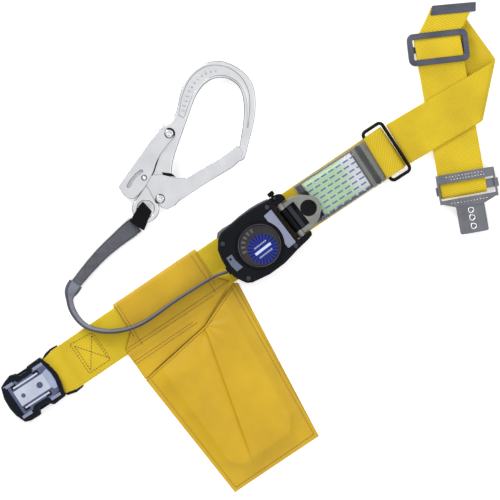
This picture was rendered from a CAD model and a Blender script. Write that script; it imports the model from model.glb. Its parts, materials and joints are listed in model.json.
"""Looks of a body-belt fall-arrest set laid flat: reel, hook, lanyard, absorber, belt and pouch."""

import json
import logging
import math
from dataclasses import dataclass, field
from enum import Enum
from typing import Any, Callable, Sequence

import bmesh
import bpy
from mathutils import Matrix, Vector


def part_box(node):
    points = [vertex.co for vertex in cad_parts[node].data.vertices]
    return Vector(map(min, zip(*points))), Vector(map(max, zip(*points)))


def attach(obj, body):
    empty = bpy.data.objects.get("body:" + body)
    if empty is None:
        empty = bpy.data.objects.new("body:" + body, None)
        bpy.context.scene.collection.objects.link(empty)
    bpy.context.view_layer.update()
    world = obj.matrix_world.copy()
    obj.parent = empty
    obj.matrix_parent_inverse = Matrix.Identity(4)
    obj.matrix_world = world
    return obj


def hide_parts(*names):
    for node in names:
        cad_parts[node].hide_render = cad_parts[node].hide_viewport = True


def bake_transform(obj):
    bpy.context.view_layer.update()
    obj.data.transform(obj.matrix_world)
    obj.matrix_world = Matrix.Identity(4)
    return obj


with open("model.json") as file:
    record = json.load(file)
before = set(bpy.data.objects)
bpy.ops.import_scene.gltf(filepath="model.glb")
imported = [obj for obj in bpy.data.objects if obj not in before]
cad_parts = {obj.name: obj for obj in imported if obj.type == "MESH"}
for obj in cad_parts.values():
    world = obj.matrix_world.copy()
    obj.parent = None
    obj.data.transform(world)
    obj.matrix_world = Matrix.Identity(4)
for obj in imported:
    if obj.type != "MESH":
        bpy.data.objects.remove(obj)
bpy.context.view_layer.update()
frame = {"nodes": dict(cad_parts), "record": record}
LOG = logging.getLogger("lifeline")
MM = 0.001
RIM_LAYER = "rim"
Point = tuple[float, float]
Surface = Callable[[float, float], Vector]


# ---------------------------------------------------------------- colour, nodes and finishes
def linear(hex_colour: str, alpha: float = 1.0) -> tuple[float, float, float, float]:
    """Turn an sRGB hex colour into linear RGBA.

    Args:
        hex_colour: six hex digits.
        alpha: the fourth value.

    Returns:
        Linear red, green, blue and alpha.
    """
    values = [int(hex_colour[k:k + 2], 16) / 255 for k in (0, 2, 4)]
    rgb = [c / 12.92 if c <= 0.04045 else ((c + 0.055) / 1.055) ** 2.4 for c in values]
    return (rgb[0], rgb[1], rgb[2], alpha)


def add(tree: bpy.types.NodeTree, kind: str, sockets: dict[Any, Any] | None = None,
        **settings: Any) -> bpy.types.Node:
    """Add a shader node with its settings, values and links.

    Args:
        tree: the node tree.
        kind: the node's type name.
        sockets: input name or index to a value or to an output socket to link.
        settings: properties of the node.

    Returns:
        The new node.
    """
    made = tree.nodes.new(kind)
    for name, value in settings.items():
        setattr(made, name, value)
    for name, value in (sockets or {}).items():
        if isinstance(value, bpy.types.NodeSocket):
            tree.links.new(value, made.inputs[name])
        else:
            made.inputs[name].default_value = value
    return made


def new_material(name: str) -> tuple[bpy.types.Material, bpy.types.NodeTree, bpy.types.Node]:
    """Start a material that holds a Principled shader.

    Args:
        name: the material's name.

    Returns:
        The material, its tree and its Principled node.
    """
    material = bpy.data.materials.new(name)
    material.use_nodes = True
    tree = material.node_tree
    return material, tree, tree.nodes["Principled BSDF"]


def mixed(tree: bpy.types.NodeTree, factor: bpy.types.NodeSocket, low: str,
          high: str) -> bpy.types.NodeSocket:
    """Blend two hex colours by a factor.

    Args:
        tree: the node tree.
        factor: 0 gives low, 1 gives high.
        low: hex colour.
        high: hex colour.

    Returns:
        The colour socket.
    """
    ramp = add(tree, "ShaderNodeValToRGB", {"Fac": factor})
    ramp.color_ramp.elements[0].color = linear(low)
    ramp.color_ramp.elements[1].color = linear(high)
    return ramp.outputs["Color"]


def maths(tree: bpy.types.NodeTree, operation: str, a: Any, b: Any = 0.0,
          c: Any = 0.0) -> bpy.types.NodeSocket:
    """Output of one Math node.

    Args:
        tree: the node tree.
        operation: the Math node's operation.
        a: first value or socket.
        b: second value or socket.
        c: third value or socket, where the operation takes one.

    Returns:
        The value socket.
    """
    return add(tree, "ShaderNodeMath", {0: a, 1: b, 2: c}, operation=operation).outputs[0]


@dataclass(frozen=True)
class Weave:
    """Woven nylon or polyester, its threads drawn along the piece's own UV map (metres)."""

    name: str
    light: str
    dark: str
    rib_mm: float = 2.1           # ribs across the strap; real ones are finer, drawn coarse enough to show
    cord_mm: float = 1.3          # threads along the strap
    slant: float = 0.35           # how much a rib leans, in ribs per cord
    bump_mm: float = 0.2
    contrast: float = 0.5
    sheen: float = 0.2
    roughness: float = 0.7
    edge_mm: float = 0.0          # width of a tighter, darker selvedge, where the strap has one
    width_mm: float = 50.0

    def make(self) -> bpy.types.Material:
        """Build the material."""
        material, tree, shader = new_material(self.name)
        uv = add(tree, "ShaderNodeUVMap", uv_map="UVMap")
        axes = add(tree, "ShaderNodeSeparateXYZ", {0: uv.outputs[0]})
        cord_turn = maths(tree, "MULTIPLY", axes.outputs[1], 2 * math.pi / (self.cord_mm * MM))
        rib_turn = maths(tree, "MULTIPLY_ADD", axes.outputs[0], 2 * math.pi / (self.rib_mm * MM),
                         maths(tree, "MULTIPLY", cord_turn, self.slant))
        rib = maths(tree, "SINE", rib_turn)
        cord = maths(tree, "SINE", cord_turn)
        height = maths(tree, "MULTIPLY_ADD", cord, 0.16, maths(tree, "MULTIPLY_ADD", rib, 0.34, 0.5))
        place = add(tree, "ShaderNodeTexCoord")
        cloud = add(tree, "ShaderNodeTexNoise",
                    {"Vector": place.outputs["Object"], "Scale": 24.0, "Detail": 4.0})
        tone = maths(tree, "MULTIPLY_ADD", height, self.contrast,
                     maths(tree, "MULTIPLY", cloud.outputs["Fac"], 1.25 - self.contrast))
        if self.edge_mm:
            off_centre = maths(tree, "ABSOLUTE",
                               maths(tree, "SUBTRACT", axes.outputs[1], self.width_mm / 2 * MM))
            selvedge = maths(tree, "GREATER_THAN", off_centre, (self.width_mm / 2 - self.edge_mm) * MM)
            tone = maths(tree, "MULTIPLY_ADD", selvedge, -0.55, tone)
        tree.links.new(mixed(tree, tone, self.dark, self.light), shader.inputs["Base Color"])
        bump = add(tree, "ShaderNodeBump", {"Height": height, "Distance": self.bump_mm * MM, "Strength": 0.9})
        tree.links.new(bump.outputs[0], shader.inputs["Normal"])
        shader.inputs["Roughness"].default_value = self.roughness
        shader.inputs["Sheen Weight"].default_value = self.sheen
        shader.inputs["Sheen Roughness"].default_value = 0.4
        return material


@dataclass(frozen=True)
class Metal:
    """Steel or alloy with a fine grain and faint smears in its gloss."""

    name: str
    colour: str
    dark: str
    roughness: float = 0.28
    spread: float = 0.16
    grain_mm: float = 0.6
    bump_mm: float = 0.03
    metallic: float = 1.0
    rim: str = ""                 # colour of the rims, where the metal turns away from the lights

    def make(self) -> bpy.types.Material:
        """Build the material."""
        material, tree, shader = new_material(self.name)
        place = add(tree, "ShaderNodeTexCoord")
        grain = add(tree, "ShaderNodeTexNoise",
                    {"Vector": place.outputs["Object"], "Scale": 1 / (self.grain_mm * MM), "Detail": 3.0})
        smear = add(tree, "ShaderNodeTexNoise",
                    {"Vector": place.outputs["Object"], "Scale": 60.0, "Detail": 5.0})
        colour = mixed(tree, smear.outputs["Fac"], self.dark, self.colour)
        if self.rim:
            rims = add(tree, "ShaderNodeAttribute", attribute_name=RIM_LAYER)
            colour = add(tree, "ShaderNodeMix",
                         {"Factor": rims.outputs["Fac"], "A": colour, "B": linear(self.rim)},
                         data_type="RGBA").outputs[2]
        tree.links.new(colour, shader.inputs["Base Color"])
        rough = maths(tree, "ADD", maths(tree, "MULTIPLY", smear.outputs["Fac"], self.spread),
                      self.roughness - self.spread / 2)
        tree.links.new(rough, shader.inputs["Roughness"])
        bump = add(tree, "ShaderNodeBump",
                   {"Height": grain.outputs["Fac"], "Distance": self.bump_mm * MM, "Strength": 0.5})
        tree.links.new(bump.outputs[0], shader.inputs["Normal"])
        shader.inputs["Metallic"].default_value = self.metallic
        return material


@dataclass(frozen=True)
class Moulded:
    """Injection-moulded plastic: fine spark texture, gloss from the tool, optional tint to see through."""

    name: str
    colour: str
    worn: str
    roughness: float = 0.4
    grain_mm: float = 0.5
    bump_mm: float = 0.03
    coat: float = 0.0
    alpha: float = 1.0
    specular: float = 0.5

    def make(self) -> bpy.types.Material:
        """Build the material."""
        material, tree, shader = new_material(self.name)
        place = add(tree, "ShaderNodeTexCoord")
        grain = add(tree, "ShaderNodeTexNoise",
                    {"Vector": place.outputs["Object"], "Scale": 1 / (self.grain_mm * MM), "Detail": 2.0})
        cloud = add(tree, "ShaderNodeTexNoise",
                    {"Vector": place.outputs["Object"], "Scale": 45.0, "Detail": 4.0})
        tree.links.new(mixed(tree, cloud.outputs["Fac"], self.colour, self.worn), shader.inputs["Base Color"])
        bump = add(tree, "ShaderNodeBump",
                   {"Height": grain.outputs["Fac"], "Distance": self.bump_mm * MM, "Strength": 0.4})
        tree.links.new(bump.outputs[0], shader.inputs["Normal"])
        rough = maths(tree, "ADD", maths(tree, "MULTIPLY", cloud.outputs["Fac"], 0.12), self.roughness - 0.06)
        tree.links.new(rough, shader.inputs["Roughness"])
        shader.inputs["Coat Weight"].default_value = self.coat
        shader.inputs["Coat Roughness"].default_value = 0.08
        shader.inputs["Alpha"].default_value = self.alpha
        shader.inputs["Specular IOR Level"].default_value = self.specular
        return material


@dataclass(frozen=True)
class PrintedLabel:
    """Printed film: pale green fading to white, with plain blue bars where print would be."""

    name: str = "printed_film"
    green: str = "B4DCA2"
    white: str = "E4EAE8"
    ink: str = "4450B0"
    row_mm: float = 6.0
    column_mm: float = 9.5
    fade_from_mm: float = 40.0
    fade_over_mm: float = 16.0

    def make(self) -> bpy.types.Material:
        """Build the material."""
        material, tree, shader = new_material(self.name)
        uv = add(tree, "ShaderNodeUVMap", uv_map="UVMap")
        axes = add(tree, "ShaderNodeSeparateXYZ", {0: uv.outputs[0]})
        cloud = add(tree, "ShaderNodeTexNoise", {"Vector": uv.outputs[0], "Scale": 60.0, "Detail": 2.0})
        fade = maths(tree, "DIVIDE", maths(tree, "SUBTRACT", axes.outputs[0], self.fade_from_mm * MM),
                     self.fade_over_mm * MM)
        spread = maths(tree, "MULTIPLY_ADD", maths(tree, "SUBTRACT", cloud.outputs["Fac"], 0.5), 1.6, fade)
        ground = mixed(tree, spread, self.green, self.white)
        row = maths(tree, "FRACT", maths(tree, "DIVIDE", axes.outputs[1], self.row_mm * MM))
        in_row = maths(tree, "LESS_THAN", row, 0.28)
        line = maths(tree, "FLOOR", maths(tree, "DIVIDE", axes.outputs[1], self.row_mm * MM))
        start = maths(tree, "MULTIPLY", maths(tree, "SINE", maths(tree, "MULTIPLY", line, 2.3)), 7.0)
        column = maths(tree, "FRACT",
                       maths(tree, "ADD", maths(tree, "DIVIDE", axes.outputs[0], self.column_mm * MM),
                                            start))
        in_dash = maths(tree, "LESS_THAN", column, 0.72)
        ink = maths(tree, "MULTIPLY", in_row, in_dash)
        blend = add(tree, "ShaderNodeMix", {"Factor": ink, "A": ground,
                                            "B": linear(self.ink)}, data_type="RGBA")
        tree.links.new(blend.outputs[2], shader.inputs["Base Color"])
        shader.inputs["Roughness"].default_value = 0.35
        return material


@dataclass(frozen=True)
class DiscPrint:
    """Printed disc: grey-brown ring, blue sun-ray field and plain pale bars."""

    name: str = "printed_disc"
    ring: str = "3A3738"
    ring_dark: str = "1B1A1C"
    blue: str = "1C2F9C"
    night: str = "05071C"
    pale: str = "C6D0EE"
    centre: Point = (0.7, -5.3)
    field_r_mm: float = 16.0
    rays: int = 24

    def make(self, at: Vector, turn: float) -> bpy.types.Material:
        """Build the material.

        Args:
            at: centre of the disc.
            turn: angle of the reel, in radians.

        Returns:
            The material.
        """
        material, tree, shader = new_material(self.name)
        place = add(tree, "ShaderNodeTexCoord")
        local = add(tree, "ShaderNodeMapping", {"Vector": place.outputs["Object"], "Location": at,
                                                "Rotation": (0, 0, turn)}, vector_type="TEXTURE")
        axes = add(tree, "ShaderNodeSeparateXYZ", {0: local.outputs[0]})
        x = maths(tree, "SUBTRACT", axes.outputs[0], self.centre[0] * MM)
        y = maths(tree, "SUBTRACT", axes.outputs[1], self.centre[1] * MM)
        radius = maths(tree, "SQRT",
                       maths(tree, "ADD", maths(tree, "MULTIPLY", x, x), maths(tree, "MULTIPLY", y, y)))
        ray = maths(tree, "SINE", maths(tree, "MULTIPLY", maths(tree, "ARCTAN2", y, x), float(self.rays)))
        rays = mixed(tree, maths(tree, "MULTIPLY_ADD", ray, 0.5, 0.5), self.night, self.blue)
        cloud = add(tree, "ShaderNodeTexNoise",
                    {"Vector": place.outputs["Object"], "Scale": 160.0, "Detail": 3.0})
        ring = mixed(tree, cloud.outputs["Fac"], self.ring_dark, self.ring)
        inside = maths(tree, "LESS_THAN", radius, self.field_r_mm * MM)
        base = add(tree, "ShaderNodeMix", {"Factor": inside, "A": ring, "B": rays},
                   data_type="RGBA").outputs[2]
        for offset, half_length, half_width in ((0.0, 10.2, 1.5), (5.6, 8.0, 0.8), (-5.6, 8.6, 0.9)):
            dx = maths(tree, "LESS_THAN", maths(tree, "ABSOLUTE", x), half_length * MM)
            dy = maths(tree, "LESS_THAN", maths(tree, "ABSOLUTE", maths(tree, "SUBTRACT", y, offset * MM)),
                       half_width * MM)
            bar = maths(tree, "MULTIPLY", dx, dy)
            if offset:
                beat = maths(tree, "SINE", maths(tree, "MULTIPLY", x, 2 * math.pi / (2.2 * MM)))
                gaps = maths(tree, "GREATER_THAN", beat, -0.4)
                bar = maths(tree, "MULTIPLY", maths(tree, "MULTIPLY", bar, 0.7), gaps)
            base = add(tree, "ShaderNodeMix", {"Factor": bar, "A": base, "B": linear(self.pale)},
                       data_type="RGBA").outputs[2]
        tree.links.new(base, shader.inputs["Base Color"])
        shader.inputs["Roughness"].default_value = 0.35
        shader.inputs["Specular IOR Level"].default_value = 0.25
        return material


class Finish(Enum):
    """The set's finishes, each made once."""

    # Polyester webbing: matt, ribbed across, a little darker between the ribs.
    WEBBING = Weave("woven_belt_webbing", "E8CA0C", "A08200", slant=0.3, contrast=0.6, sheen=0.06)
    # Coated nylon cloth: smoother than the webbing, with a soft shine.
    POUCH_CLOTH = Weave("woven_nylon_cloth", "D6AE04", "AE8600", rib_mm=1.3, cord_mm=1.3, slant=0.0,
                        bump_mm=0.05,
                        contrast=0.22, sheen=0.03, roughness=0.55)
    # Grey-blue nylon lanyard: tight ribs and darker selvedges.
    LANYARD = Weave("woven_grey_webbing", "8B90A0", "2E313C", rib_mm=1.9, cord_mm=1.5, bump_mm=0.15,
                    edge_mm=3.0, width_mm=16.0)
    # Black binding tape.
    TAPE = Weave("woven_black_tape", "1D1E22", "060608", rib_mm=1.6, sheen=0.03, roughness=0.85)
    # Grey webbing of the absorber's neck, seen through the clear sheath.
    GREY_BAND = Weave("woven_grey_band", "84867F", "50514D", rib_mm=1.6, sheen=0.03)
    # Darker webbing of the neck, between its grey folds.
    DARK_BAND = Weave("woven_dark_band", "4A4A4C", "232326", rib_mm=1.6, sheen=0.03)
    # Grey-blue webbing inside the clear sleeve, which darkens it.
    SLEEVED = Weave("sleeved_webbing", "484C5A", "101117", rib_mm=1.9, cord_mm=1.5, edge_mm=2.0,
                    width_mm=15.0,
                    sheen=0.03)
    # Bonded nylon thread: dark brown, slightly waxy.
    THREAD = Moulded("bonded_thread", "6A4034", "7E5546", roughness=0.6)
    # Forged and plated steel: bright, satin, slightly uneven gloss.
    FORGED = Metal("plated_forged_steel", "F6F7F9", "E2E5E9", roughness=0.3, rim="24252C")
    # Plated pressed sheet: bright and a little smoother.
    SHEET = Metal("plated_sheet_steel", "F6F7F9", "DEE1E6", roughness=0.26, rim="24252C")
    # Brushed stainless sheet: mid grey.
    TONGUE = Metal("brushed_sheet_steel", "8E9097", "65676D", roughness=0.34)
    # Zinc-plated pressed slider: dull blue-grey.
    ZINC = Metal("dull_zinc_plate", "6E707E", "4A4B57", roughness=0.4)
    # Blasted aluminium casting: dull, finely pitted.
    CASTING = Metal("blasted_alloy_casting", "A6A6A2", "787875", roughness=0.5, grain_mm=0.8, bump_mm=0.12)
    # Blued steel of springs, pawls and ratchet.
    DARK_STEEL = Metal("blued_spring_steel", "5E6168", "34363B", roughness=0.35)
    # Black-coated steel wire: glossy, narrow highlights.
    BLACK_WIRE = Moulded("black_coated_wire", "030304", "08080A", roughness=0.3, coat=0.05, specular=0.15)
    # Black moulded nylon: fine texture, low gloss.
    BLACK = Moulded("black_nylon", "05060A", "0E0F16", roughness=0.34, specular=0.1)
    # Smoke polycarbonate: nearly black, glossy, lets a little through.
    SMOKE = Moulded("smoke_polycarbonate", "04050A", "0C0E18", roughness=0.14, coat=0.05, alpha=0.95,
                    specular=0.15)
    # Smoke acetal of the buckle: blue-grey and see-through.
    BUCKLE = Moulded("smoke_acetal", "05070F", "101524", roughness=0.18, coat=0.05, alpha=0.96, specular=0.15)
    # Thin smoke acetal over pale inner walls: light blue-grey, glossy.
    BUCKLE_WINDOW = Moulded("thin_smoke_acetal", "1A2034", "66709A", roughness=0.14, coat=0.25, specular=0.35)
    # Arched middle of the buckle, thinner still: it takes a broad pale shine.
    BUCKLE_GLASS = Moulded("arched_smoke_acetal", "6C769A", "BCC6DE", roughness=0.12, coat=0.3)
    # Latch plate seen through the smoke acetal.
    LATCH = Moulded("latch_under_acetal", "9AA2B8", "D4D9E6", roughness=0.25, coat=0.1, specular=0.3)
    # Edge of the smoke cover, where light gathers in the clear plastic.
    COVER_EDGE = Moulded("lit_cover_edge", "3A3A46", "74747F", roughness=0.2, coat=0.2, alpha=0.9,
                         specular=0.3)
    # Lip of the disc's bezel: dark, with a warm grey shine.
    BEZEL_LIP = Moulded("bezel_lip", "3E393F", "766E76", roughness=0.25, coat=0.15, specular=0.3)
    # Painted strip of the reel's frame: flat blue-grey, satin.
    GREY_PLATE = Moulded("grey_moulded_plate", "7A8098", "9096AC", roughness=0.35, specular=0.3)
    # Corner of the same frame, in the shade of the cover: darker blue-grey.
    CORNER_PLATE = Moulded("dark_moulded_plate", "525C6E", "697486", roughness=0.35, specular=0.3)
    # Pale inner walls of the buckle: near white, they catch the light through the smoke acetal.
    PALE_RAIL = Moulded("pale_moulded_rail", "A8AEC0", "DDE0E8", roughness=0.3)
    # Eye loop's tape: black, dull, almost no shine.
    EYE_TAPE = Moulded("black_tape_loop", "050507", "0D0D11", roughness=0.7, specular=0.12)
    # Edges of the webbing wound on the drum: dark grey.
    WOUND = Moulded("wound_webbing_edge", "1C1E26", "343844", specular=0.2)
    # Clear soft vinyl: colourless, glossy, slightly milky in the folds.
    CLEAR = Moulded("soft_clear_vinyl", "9A9EA6", "B4B7BD", roughness=0.16, alpha=0.14, coat=0.3,
                    specular=0.4)

    def material(self) -> bpy.types.Material:
        """The finish's material, made on first use."""
        return bpy.data.materials.get(self.value.name) or self.value.make()


# ---------------------------------------------------------------- places and mesh helpers
@dataclass(frozen=True)
class Place:
    """Where a sub-assembly lies: x and y in mm, and the angle of its own X axis in degrees."""

    x: float
    y: float
    angle: float

    def point(self, x: float, y: float, z: float) -> Vector:
        """A local point in mm, as a point of the set's frame in metres."""
        turn = math.radians(self.angle)
        cos, sin = math.cos(turn), math.sin(turn)
        return Vector((self.x + x * cos - y * sin, self.y + x * sin + y * cos, z)) * MM


BELT = Place(-27.3, -14.3, 34.2)
FRONT = Place(158.0, 112.1, 30.5)
TAIL = Place(233.0, 65.1, -80.0)
REEL = Place(10.0, 1.9, 37.5)
ABSORBER = Place(139.1, 97.5, 33.0)
BUCKLE_PLACE = Place(-204.9, -134.2, 33.0)
HOOK = Place(-112.6, 41.3, 64.0)


def smoothstep(low: float, high: float, value: float) -> float:
    """Ease from 0 at low to 1 at high.

    Args:
        low: value that gives 0.
        high: value that gives 1; it may be the smaller one.
        value: where to look.

    Returns:
        The eased share.
    """
    t = min(1.0, max(0.0, (value - low) / (high - low)))
    return t * t * (3 - 2 * t)


def follow(points: Sequence[Sequence[float]], s: float) -> list[float]:
    """Point of a polyline of any dimension at a share s of its length.

    Args:
        points: the corners.
        s: share from 0 to 1.

    Returns:
        The coordinates there.
    """
    runs = [math.dist(a, b) for a, b in zip(points, points[1:])]
    left = s * sum(runs)
    for (a, b), run in zip(zip(points, points[1:]), runs):
        if left <= run:
            t = left / run if run else 0.0
            return [p + (q - p) * t for p, q in zip(a, b)]
        left -= run
    return list(points[-1])


def smooth_path(points: Sequence[Sequence[float]], rounds: int = 3) -> list[list[float]]:
    """Round a polyline by cutting its corners.

    Args:
        points: the corners.
        rounds: how many times the corners are cut.

    Returns:
        The rounded polyline.
    """
    path = [list(p) for p in points]
    for _ in range(rounds):
        cut = [path[0]]
        for a, b in zip(path, path[1:]):
            cut.append([p * 0.75 + q * 0.25 for p, q in zip(a, b)])
            cut.append([p * 0.25 + q * 0.75 for p, q in zip(a, b)])
        path = cut + [path[-1]]
    return path


def to_object(name: str, bm: bmesh.types.BMesh, finish: bpy.types.Material, body: str,
              slot: str) -> bpy.types.Object:
    """Turn a bmesh into a smooth-shaded object that rides on a body.

    Args:
        name: the piece's name.
        bm: its mesh, freed here.
        finish: its material.
        body: the CAD body it rides on.
        slot: the record's material slot.

    Returns:
        The object.
    """
    mesh = bpy.data.meshes.new(name)
    bm.to_mesh(mesh)
    bm.free()
    mesh.materials.append(finish)
    for polygon in mesh.polygons:
        polygon.use_smooth = True
    piece = bpy.data.objects.new(name, mesh)
    bpy.context.scene.collection.objects.link(piece)
    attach(piece, body)
    LOG.info("made %s with %d faces", name, len(mesh.polygons))
    return piece


def grid(columns: int, rows: int, surface: Surface, size: Point) -> bmesh.types.BMesh:
    """Sheet of cloth: a grid laid on a surface, with a UV map in metres.

    Args:
        columns: cells along.
        rows: cells across.
        surface: place of each (u, v), both 0 to 1, in metres.
        size: length and width of the sheet in mm, for the UV map.

    Returns:
        The mesh.
    """
    bm = bmesh.new()
    uv = bm.loops.layers.uv.new("UVMap")
    bmesh.ops.create_grid(bm, x_segments=columns, y_segments=rows, size=0.5)
    for face in bm.faces:
        for loop in face.loops:
            co = loop.vert.co
            loop[uv].uv = ((co.x + 0.5) * size[0] * MM, (co.y + 0.5) * size[1] * MM)
    for vert in bm.verts:
        vert.co = surface(vert.co.x + 0.5, vert.co.y + 0.5)
    bmesh.ops.recalc_face_normals(bm, faces=bm.faces)
    return bm


def thicken(piece: bpy.types.Object, thick_mm: float, rim: bool = True) -> None:
    """Give a sheet its thickness, half to each side, and a softened rim.

    Args:
        piece: the sheet.
        thick_mm: its thickness.
        rim: whether its rim is softened.
    """
    solid = piece.modifiers.new("thickness", "SOLIDIFY")
    solid.thickness = thick_mm * MM
    solid.offset = 0.0
    if rim:
        soft = piece.modifiers.new("rim", "BEVEL")
        soft.width = thick_mm * 0.28 * MM
        soft.segments = 2
        soft.limit_method = "ANGLE"
        soft.angle_limit = math.radians(50)


def stitches(name: str, runs: Sequence[Sequence[Vector]], body: str, pitch: float = 3.2, length: float = 2.6,
             width: float = 0.85, finish: bpy.types.Material | None = None,
             slot: str = "yellow_webbing") -> bpy.types.Object:
    """Rows of raised thread stitches along polylines that lie on a surface.

    Args:
        name: the piece's name.
        runs: polylines in metres.
        body: the CAD body it rides on.
        pitch: from stitch to stitch, mm.
        length: of one stitch, mm.
        width: of the thread, mm.
        finish: the material, brown thread if not given.
        slot: the record's material slot.

    Returns:
        The object.
    """
    bm = bmesh.new()
    for run in runs:
        total = sum((b - a).length for a, b in zip(run, run[1:]))
        count = max(1, round(total / (pitch * MM)))
        for k in range(count):
            a = Vector(follow(run, (k + 0.1) / count))
            b = Vector(follow(run, (k + 0.9) / count))
            heading = (b - a).to_track_quat("X", "Z").to_matrix().to_4x4()
            shape = Matrix.Diagonal((length / 2 * MM, width / 2 * MM, width / 2 * MM, 1))
            bmesh.ops.create_icosphere(bm, subdivisions=1, radius=1,
                                       matrix=Matrix.Translation((a + b) / 2) @ heading @ shape)
    return to_object(name, bm, finish or Finish.THREAD.material(), body, slot)


def dress(nodes: Sequence[str], finish: bpy.types.Material) -> None:
    """Give CAD nodes a finish.

    Args:
        nodes: their names.
        finish: the material.
    """
    for name in nodes:
        data = frame["nodes"][name].data
        data.materials.clear()
        data.materials.append(finish)


def merged_copy(node: str) -> bmesh.types.BMesh:
    """Merged copy of a CAD node's mesh, with its flat faces joined.

    Args:
        node: the node's name.

    Returns:
        The mesh.
    """
    bm = bmesh.new()
    bm.from_mesh(frame["nodes"][node].data)
    bmesh.ops.remove_doubles(bm, verts=bm.verts, dist=0.004 * MM)
    bmesh.ops.dissolve_limit(bm, angle_limit=math.radians(0.6), verts=bm.verts, edges=bm.edges)
    return bm


def round_edges(bm: bmesh.types.BMesh, edge_mm: float, segments: int, angle: float = 32.0,
                clamp: bool = True) -> None:
    """Round the edges of a closed mesh that turn by more than an angle.

    Args:
        bm: the mesh.
        edge_mm: edge radius.
        segments: steps in the edge.
        angle: smallest turn, in degrees.
        clamp: keep the radius under the shortest edge's share; off on long smooth outlines.
    """
    wide = [f for f in bm.faces if len(f.verts) > 4]
    bmesh.ops.triangulate(bm, faces=wide, quad_method="BEAUTY", ngon_method="BEAUTY")
    rims = [e for e in bm.edges if len(e.link_faces) == 2 and e.calc_face_angle(0.0) > math.radians(angle)]
    bmesh.ops.bevel(bm, geom=rims, offset=edge_mm * MM, offset_type="OFFSET", segments=segments, profile=0.5,
                    affect="EDGES", clamp_overlap=clamp, material=-1)


def flat_shading(piece: bpy.types.Object, angle: float = 42.0) -> None:
    """Keep flat faces flat beside rounded edges.

    Args:
        piece: the object.
        angle: turn between faces that is left sharp, in degrees.
    """
    piece.data.set_sharp_from_angle(angle=math.radians(angle))
    normals = piece.modifiers.new("flat_faces", "WEIGHTED_NORMAL")
    normals.keep_sharp = True


def mark_rims(piece: bpy.types.Object, low: float = 0.55, high: float = 0.97) -> None:
    """Store on each face how far it turns away from the flat, for a metal's dark rims.

    Args:
        piece: the object.
        low: upward part of the normal at which a face is all rim.
        high: upward part of the normal from which a face is all flat.
    """
    layer = piece.data.attributes.new(RIM_LAYER, "FLOAT", "FACE")
    for polygon, item in zip(piece.data.polygons, layer.data):
        item.value = 1.0 - smoothstep(low, high, abs(polygon.normal.z))


def prism(points: Sequence[Vector], height_mm: float) -> bmesh.types.BMesh:
    """Closed prism raised from an outline.

    Args:
        points: the outline, in metres.
        height_mm: how far it is raised.

    Returns:
        The mesh.
    """
    bm = bmesh.new()
    face = bm.faces.new([bm.verts.new(p) for p in points])
    grown = bmesh.ops.extrude_face_region(bm, geom=[face])
    raised = [v for v in grown["geom"] if isinstance(v, bmesh.types.BMVert)]
    bmesh.ops.translate(bm, verts=raised, vec=(0, 0, height_mm * MM))
    bmesh.ops.recalc_face_normals(bm, faces=bm.faces)
    return bm


def lathe(profile: Sequence[Point], centre: Vector, segments: int = 40) -> bmesh.types.BMesh:
    """Round piece turned about a vertical axis.

    Args:
        profile: radius and height of each point, mm, from the bottom up.
        centre: a point of the axis, in metres.
        segments: faces around.

    Returns:
        The mesh.
    """
    bm = bmesh.new()
    verts = [bm.verts.new((centre.x + r * MM, centre.y, z * MM)) for r, z in profile]
    edges = [bm.edges.new(pair) for pair in zip(verts, verts[1:])]
    bmesh.ops.spin(bm, geom=verts + edges, cent=(centre.x, centre.y, 0), axis=(0, 0, 1), angle=2 * math.pi,
                   steps=segments, use_merge=True)
    bmesh.ops.remove_doubles(bm, verts=bm.verts, dist=0.002 * MM)
    bmesh.ops.recalc_face_normals(bm, faces=bm.faces)
    return bm


def carved(bm: bmesh.types.BMesh, cutters: Sequence[bmesh.types.BMesh]) -> bmesh.types.BMesh:
    """Cut closed meshes out of another.

    Args:
        bm: the mesh to cut, freed here.
        cutters: the meshes to take away, freed here.

    Returns:
        What is left.
    """
    holders = []
    for part in [bm, *cutters]:
        mesh = bpy.data.meshes.new("carving")
        part.to_mesh(mesh)
        part.free()
        holder = bpy.data.objects.new("carving", mesh)
        bpy.context.scene.collection.objects.link(holder)
        holders.append(holder)
    for tool in holders[1:]:
        cut = holders[0].modifiers.new("cut", "BOOLEAN")
        cut.object = tool
        cut.operation = "DIFFERENCE"
        cut.solver = "EXACT"
    graph = bpy.context.evaluated_depsgraph_get()
    result = bpy.data.meshes.new_from_object(holders[0].evaluated_get(graph))
    out = bmesh.new()
    out.from_mesh(result)
    bpy.data.meshes.remove(result)
    for holder in holders:
        bpy.data.meshes.remove(holder.data)
    return out


def box_corners(x0: float, x1: float, y0: float, y1: float) -> list[Point]:
    """Corners of a rectangle, in order round it."""
    return [(x0, y0), (x1, y0), (x1, y1), (x0, y1)]


def plate_piece(name: str, place: "Place", outline: Sequence[Point], low: float, high: float,
                finish: bpy.types.Material, body: str, slot: str, edge: float = 0.25) -> bpy.types.Object:
    """Flat plate with rounded edges.

    Args:
        name: the piece's name.
        place: frame of its outline.
        outline: its corners, mm.
        low: height of its underside, mm.
        high: height of its top, mm.
        finish: its material.
        body: the CAD body it rides on.
        slot: the record's material slot.
        edge: edge radius, mm.

    Returns:
        The object.
    """
    bm = prism([place.point(x, y, low) for x, y in outline], high - low)
    round_edges(bm, edge, 2, 50.0)
    piece = to_object(name, bm, finish, body, slot)
    flat_shading(piece)
    return piece


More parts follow.
